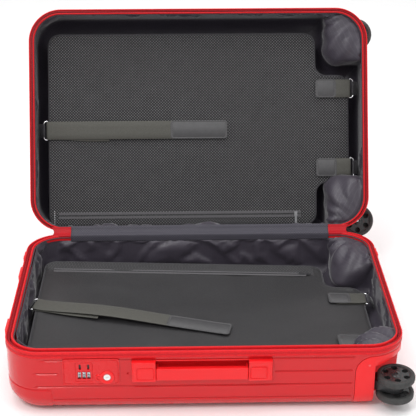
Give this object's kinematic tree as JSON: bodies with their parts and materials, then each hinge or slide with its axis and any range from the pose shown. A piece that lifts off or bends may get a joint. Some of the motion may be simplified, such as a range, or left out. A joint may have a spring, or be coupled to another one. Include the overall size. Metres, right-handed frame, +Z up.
{
  "type": "hard shell suitcase",
  "caption": "Glossy ribbed hard shell suitcase lying open, with twin-wheel casters, carry handles, trolley, dial lock, zip edges, lining, divider panels and straps.",
  "frame": {"origin": "middle of the lower shell's outer face, where the open case lies on the ground", "axes": "+X towards the wheels, +Y across the case towards the hinge, +Z up out of the lower half"},
  "size_m": [0.68, 0.7264, 0.51],
  "materials": {
    "red_shell": "glossy moulded shell with fine ribs",
    "red_fittings": "glossy, a little brighter than the shell",
    "zip_tape": "coated woven tape with moulded teeth",
    "lining_fabric": "thin matt woven lining",
    "panel_mesh": "fine mesh over a light padded panel",
    "strap_webbing": "flat woven webbing",
    "hinge_fabric": "matt woven strip",
    "caster_plastic": "dark satin moulded plastic",
    "wheel_rubber": "matt dark rubber on a dark hub",
    "dark_plastic": "dark satin moulded plastic",
    "chrome": "polished steel",
    "dial_metal": "turned metal with dark marks",
    "tube_aluminium": "satin anodised tube"
  },
  "bodies": {
    "lower_case": {"lower_shell": "red_shell", "lower_zip_tape": "zip_tape", "lower_lining": "lining_fabric", "hinge_cover": "hinge_fabric", "lower_front_housing": "red_fittings", "lower_back_housing": "red_fittings", "lock_plate": "red_fittings", "side_handle_base": "red_fittings", "top_handle_base": "red_fittings", "trolley_housing": "dark_plastic"},
    "lid_case": {"lid_shell": "red_shell", "lid_zip_tape": "zip_tape", "lid_lining": "lining_fabric", "lid_front_housing": "red_fittings", "lid_back_housing": "red_fittings"},
    "lower_front_caster": {"lower_front_fork": "caster_plastic", "lower_front_axle": "chrome"},
    "lower_front_wheel_inner": {"lower_front_wheel_inner": "wheel_rubber"},
    "lower_front_wheel_outer": {"lower_front_wheel_outer": "wheel_rubber"},
    "lower_back_caster": {"lower_back_fork": "caster_plastic", "lower_back_axle": "chrome"},
    "lower_back_wheel_inner": {"lower_back_wheel_inner": "wheel_rubber"},
    "lower_back_wheel_outer": {"lower_back_wheel_outer": "wheel_rubber"},
    "lid_front_caster": {"lid_front_fork": "caster_plastic", "lid_front_axle": "chrome"},
    "lid_front_wheel_inner": {"lid_front_wheel_inner": "wheel_rubber"},
    "lid_front_wheel_outer": {"lid_front_wheel_outer": "wheel_rubber"},
    "lid_back_caster": {"lid_back_fork": "caster_plastic", "lid_back_axle": "chrome"},
    "lid_back_wheel_inner": {"lid_back_wheel_inner": "wheel_rubber"},
    "lid_back_wheel_outer": {"lid_back_wheel_outer": "wheel_rubber"},
    "side_handle": {"side_handle_grip": "red_fittings"},
    "top_handle": {"top_handle_grip": "red_fittings"},
    "trolley": {"trolley_grip": "dark_plastic", "trolley_tube_front": "tube_aluminium", "trolley_tube_back": "tube_aluminium"},
    "trolley_button": {"trolley_button": "dark_plastic"},
    "dial_1": {"dial_1": "dial_metal"},
    "dial_2": {"dial_2": "dial_metal"},
    "dial_3": {"dial_3": "dial_metal"},
    "release_button": {"release_button": "chrome"},
    "key_cylinder": {"key_cylinder": "chrome"},
    "lower_divider": {"lower_divider": "panel_mesh", "lower_strap": "strap_webbing", "lower_tab_back": "strap_webbing", "lower_tab_front": "strap_webbing"},
    "lid_divider": {"lid_divider": "panel_mesh", "lid_strap": "strap_webbing", "lid_tab_back": "strap_webbing", "lid_tab_front": "strap_webbing"},
    "lower_pocket_slider": {"lower_pocket_slider": "dark_plastic"},
    "lid_pocket_slider": {"lid_pocket_slider": "dark_plastic"},
    "main_slider_left": {"main_slider_left": "chrome"},
    "main_slider_right": {"main_slider_right": "chrome"},
    "lower_ring_left": {"lower_ring_left": "chrome"},
    "lower_ring_back": {"lower_ring_back": "chrome"},
    "lower_ring_front": {"lower_ring_front": "chrome"},
    "lid_ring_left": {"lid_ring_left": "chrome"},
    "lid_ring_back": {"lid_ring_back": "chrome"},
    "lid_ring_front": {"lid_ring_front": "chrome"}
  },
  "joints": [
    {"name": "lid_hinge", "type": "hinge", "parent": "lower_case", "child": "lid_case", "pos_m": [0, 0.217, 0.1206], "axis": [1, 0, 0], "range_deg": [-65, 115]},
    {"name": "lower_front_caster_swivel", "type": "hinge", "parent": "lower_case", "child": "lower_front_caster", "pos_m": [0, -0.185, 0.042], "axis": [1, 0, 0], "continuous": true},
    {"name": "lower_front_wheel_inner_spin", "type": "hinge", "parent": "lower_front_caster", "child": "lower_front_wheel_inner", "pos_m": [0.3135, -0.2, 0.042], "axis": [0, 0, 1], "continuous": true},
    {"name": "lower_front_wheel_outer_spin", "type": "hinge", "parent": "lower_front_caster", "child": "lower_front_wheel_outer", "pos_m": [0.3135, -0.2, 0.042], "axis": [0, 0, 1], "continuous": true},
    {"name": "lower_back_caster_swivel", "type": "hinge", "parent": "lower_case", "child": "lower_back_caster", "pos_m": [0, 0.185, 0.042], "axis": [1, 0, 0], "continuous": true},
    {"name": "lower_back_wheel_inner_spin", "type": "hinge", "parent": "lower_back_caster", "child": "lower_back_wheel_inner", "pos_m": [0.3135, 0.17, 0.042], "axis": [0, 0, 1], "continuous": true},
    {"name": "lower_back_wheel_outer_spin", "type": "hinge", "parent": "lower_back_caster", "child": "lower_back_wheel_outer", "pos_m": [0.3135, 0.17, 0.042], "axis": [0, 0, 1], "continuous": true},
    {"name": "lid_front_caster_swivel", "type": "hinge", "parent": "lid_case", "child": "lid_front_caster", "pos_m": [0, 0.30176, 0.11638], "axis": [1, 0, 0], "continuous": true},
    {"name": "lid_front_wheel_inner_spin", "type": "hinge", "parent": "lid_front_caster", "child": "lid_front_wheel_inner", "pos_m": [0.3135, 0.29542, 0.10279], "axis": [0, -0.9063, 0.4226], "continuous": true},
    {"name": "lid_front_wheel_outer_spin", "type": "hinge", "parent": "lid_front_caster", "child": "lid_front_wheel_outer", "pos_m": [0.3135, 0.29542, 0.10279], "axis": [0, -0.9063, 0.4226], "continuous": true},
    {"name": "lid_back_caster_swivel", "type": "hinge", "parent": "lid_case", "child": "lid_back_caster", "pos_m": [0, 0.45813, 0.45172], "axis": [1, 0, 0], "continuous": true},
    {"name": "lid_back_wheel_inner_spin", "type": "hinge", "parent": "lid_back_caster", "child": "lid_back_wheel_inner", "pos_m": [0.3135, 0.45179, 0.43812], "axis": [0, -0.9063, 0.4226], "continuous": true},
    {"name": "lid_back_wheel_outer_spin", "type": "hinge", "parent": "lid_back_caster", "child": "lid_back_wheel_outer", "pos_m": [0.3135, 0.45179, 0.43812], "axis": [0, -0.9063, 0.4226], "continuous": true},
    {"name": "side_handle_lift", "type": "slide", "parent": "lower_case", "child": "side_handle", "axis": [0, -1, 0], "range_m": [0, 0.012], "stiffness_N_per_m": 200},
    {"name": "top_handle_lift", "type": "slide", "parent": "lower_case", "child": "top_handle", "axis": [-1, 0, 0], "range_m": [0, 0.012], "stiffness_N_per_m": 200},
    {"name": "trolley_slide", "type": "slide", "parent": "lower_case", "child": "trolley", "axis": [-1, 0, 0], "range_m": [0, 0.35]},
    {"name": "trolley_button_press", "type": "slide", "parent": "trolley", "child": "trolley_button", "axis": [1, 0, 0], "range_m": [0, 0.0028], "stiffness_N_per_m": 300},
    {"name": "dial_1_turn", "type": "hinge", "parent": "lower_case", "child": "dial_1", "pos_m": [-0.2029, -0.2096, 0.0765], "axis": [1, 0, 0], "continuous": true},
    {"name": "dial_2_turn", "type": "hinge", "parent": "lower_case", "child": "dial_2", "pos_m": [-0.1953, -0.2096, 0.0765], "axis": [1, 0, 0], "continuous": true},
    {"name": "dial_3_turn", "type": "hinge", "parent": "lower_case", "child": "dial_3", "pos_m": [-0.1877, -0.2096, 0.0765], "axis": [1, 0, 0], "continuous": true},
    {"name": "release_button_press", "type": "slide", "parent": "lower_case", "child": "release_button", "axis": [0, 1, 0], "range_m": [0, 0.0015], "stiffness_N_per_m": 200},
    {"name": "key_turn", "type": "hinge", "parent": "lower_case", "child": "key_cylinder", "pos_m": [-0.1585, -0.2148, 0.0725], "axis": [0, 1, 0], "range_deg": [0, 90]},
    {"name": "lower_divider_lift", "type": "slide", "parent": "lower_case", "child": "lower_divider", "axis": [0, 0, 1], "range_m": [-0.005, 0.025]},
    {"name": "lid_divider_lift", "type": "slide", "parent": "lid_case", "child": "lid_divider", "axis": [0, -0.9063, 0.4226], "range_m": [-0.025, 0.025]},
    {"name": "lower_pocket_zip", "type": "slide", "parent": "lower_divider", "child": "lower_pocket_slider", "axis": [0.9995, 0, -0.0332], "range_m": [-0.44, 0]},
    {"name": "lid_pocket_zip", "type": "slide", "parent": "lid_divider", "child": "lid_pocket_slider", "axis": [1, 0, 0], "range_m": [-0.44, 0]},
    {"name": "main_slider_left_run", "type": "slide", "parent": "lower_case", "child": "main_slider_left", "axis": [0, -1, 0], "range_m": [0, 0.27]},
    {"name": "main_slider_right_run", "type": "slide", "parent": "lower_case", "child": "main_slider_right", "axis": [0, -1, 0], "range_m": [0, 0.27]},
    {"name": "lower_ring_left_swing", "type": "hinge", "parent": "lower_divider", "child": "lower_ring_left", "pos_m": [-0.29733, 0.01045, 0.07966], "axis": [0.2163, 0.9763, -0.0072], "range_deg": [-15, 15]},
    {"name": "lower_ring_back_swing", "type": "hinge", "parent": "lower_divider", "child": "lower_ring_back", "pos_m": [0.2975, 0.052, 0.05993], "axis": [0, 1, 0], "range_deg": [-15, 15]},
    {"name": "lower_ring_front_swing", "type": "hinge", "parent": "lower_divider", "child": "lower_ring_front", "pos_m": [0.2975, -0.095, 0.05993], "axis": [0, 1, 0], "range_deg": [-15, 15]},
    {"name": "lid_ring_left_swing", "type": "hinge", "parent": "lid_divider", "child": "lid_ring_left", "pos_m": [-0.2976, 0.34756, 0.28039], "axis": [0, 0.4226, 0.9063], "range_deg": [-15, 15]},
    {"name": "lid_ring_back_swing", "type": "hinge", "parent": "lid_divider", "child": "lid_ring_back", "pos_m": [0.2976, 0.38095, 0.35199], "axis": [0, 0.4226, 0.9063], "range_deg": [-15, 15]},
    {"name": "lid_ring_front_swing", "type": "hinge", "parent": "lid_divider", "child": "lid_ring_front", "pos_m": [0.2976, 0.31502, 0.21061], "axis": [0, 0.4226, 0.9063], "range_deg": [-15, 15]}
  ]
}
